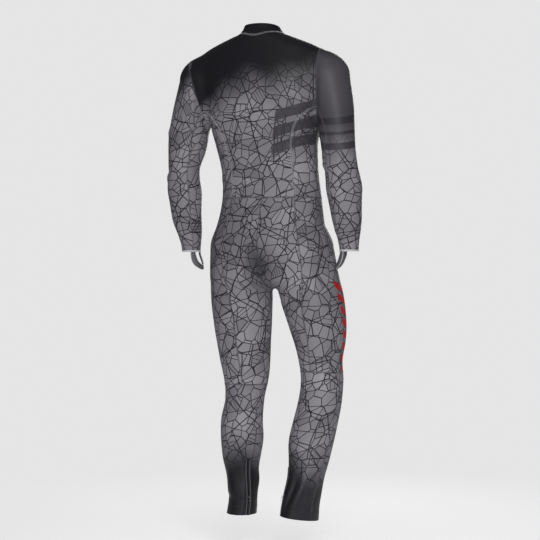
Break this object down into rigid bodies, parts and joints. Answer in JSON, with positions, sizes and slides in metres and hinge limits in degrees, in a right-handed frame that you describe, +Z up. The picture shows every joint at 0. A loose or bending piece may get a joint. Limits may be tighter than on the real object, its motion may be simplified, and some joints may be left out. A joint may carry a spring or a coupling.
{
  "type": "ski race suit",
  "caption": "One-piece stretch ski race suit as it is worn, hollow, with a stand-up collar, thumb loops and zips at the front and the ankles.",
  "frame": {"origin": "middle of the collar seam, inside the neck opening", "axes": "+Z up, the wearer faces -Y, the wearer's left is +X"},
  "size_m": [0.6113, 0.2976, 1.462],
  "materials": {
    "stretch_knit": "smooth stretch knit with a dull sheen",
    "pale_elastic": "woven elastic",
    "zip_tape": "woven tape",
    "zip_teeth": "moulded",
    "zip_metal": "dark satin"
  },
  "bodies": {
    "suit": {"back": "stretch_knit", "side_back_left": "stretch_knit", "side_back_right": "stretch_knit", "front_left": "stretch_knit", "front_right": "stretch_knit", "collar": "stretch_knit", "sleeve_outer_left": "stretch_knit", "sleeve_outer_right": "stretch_knit", "sleeve_under_left": "stretch_knit", "sleeve_under_right": "stretch_knit", "seat_left": "stretch_knit", "seat_right": "stretch_knit", "hip_left": "stretch_knit", "hip_right": "stretch_knit", "thigh_front_left": "stretch_knit", "thigh_front_right": "stretch_knit", "calf_left": "stretch_knit", "calf_right": "stretch_knit", "shin_left": "stretch_knit", "shin_right": "stretch_knit", "thumb_loop_left": "stretch_knit", "thumb_loop_right": "stretch_knit", "cuff_binding_left": "pale_elastic", "cuff_binding_right": "pale_elastic", "front_zip_tape": "zip_tape", "front_zip_teeth": "zip_teeth", "front_zip_slider": "zip_metal", "ankle_zip_left_tape": "zip_tape", "ankle_zip_left_teeth": "zip_teeth", "ankle_zip_left_slider": "zip_metal", "ankle_zip_right_tape": "zip_tape", "ankle_zip_right_teeth": "zip_teeth", "ankle_zip_right_slider": "zip_metal"},
    "front_pull": {"front_zip_pull": "zip_metal"},
    "ankle_pull_left": {"ankle_zip_left_pull": "zip_metal"},
    "ankle_pull_right": {"ankle_zip_right_pull": "zip_metal"}
  },
  "joints": [
    {"name": "front_pull_hinge", "type": "hinge", "parent": "suit", "child": "front_pull", "pos_m": [-0.00003, -0.06304, 0.01126], "axis": [-1, -0.0001, 0], "range_deg": [0, 150]},
    {"name": "ankle_pull_left_hinge", "type": "hinge", "parent": "suit", "child": "ankle_pull_left", "pos_m": [0.0377, 0.00313, -1.35935], "axis": [0.5841, 0.8078, 0.0795], "range_deg": [0, 150]},
    {"name": "ankle_pull_right_hinge", "type": "hinge", "parent": "suit", "child": "ankle_pull_right", "pos_m": [-0.08502, 0.06727, -1.34596], "axis": [0.4152, -0.9049, -0.0935], "range_deg": [0, 150]}
  ]
}
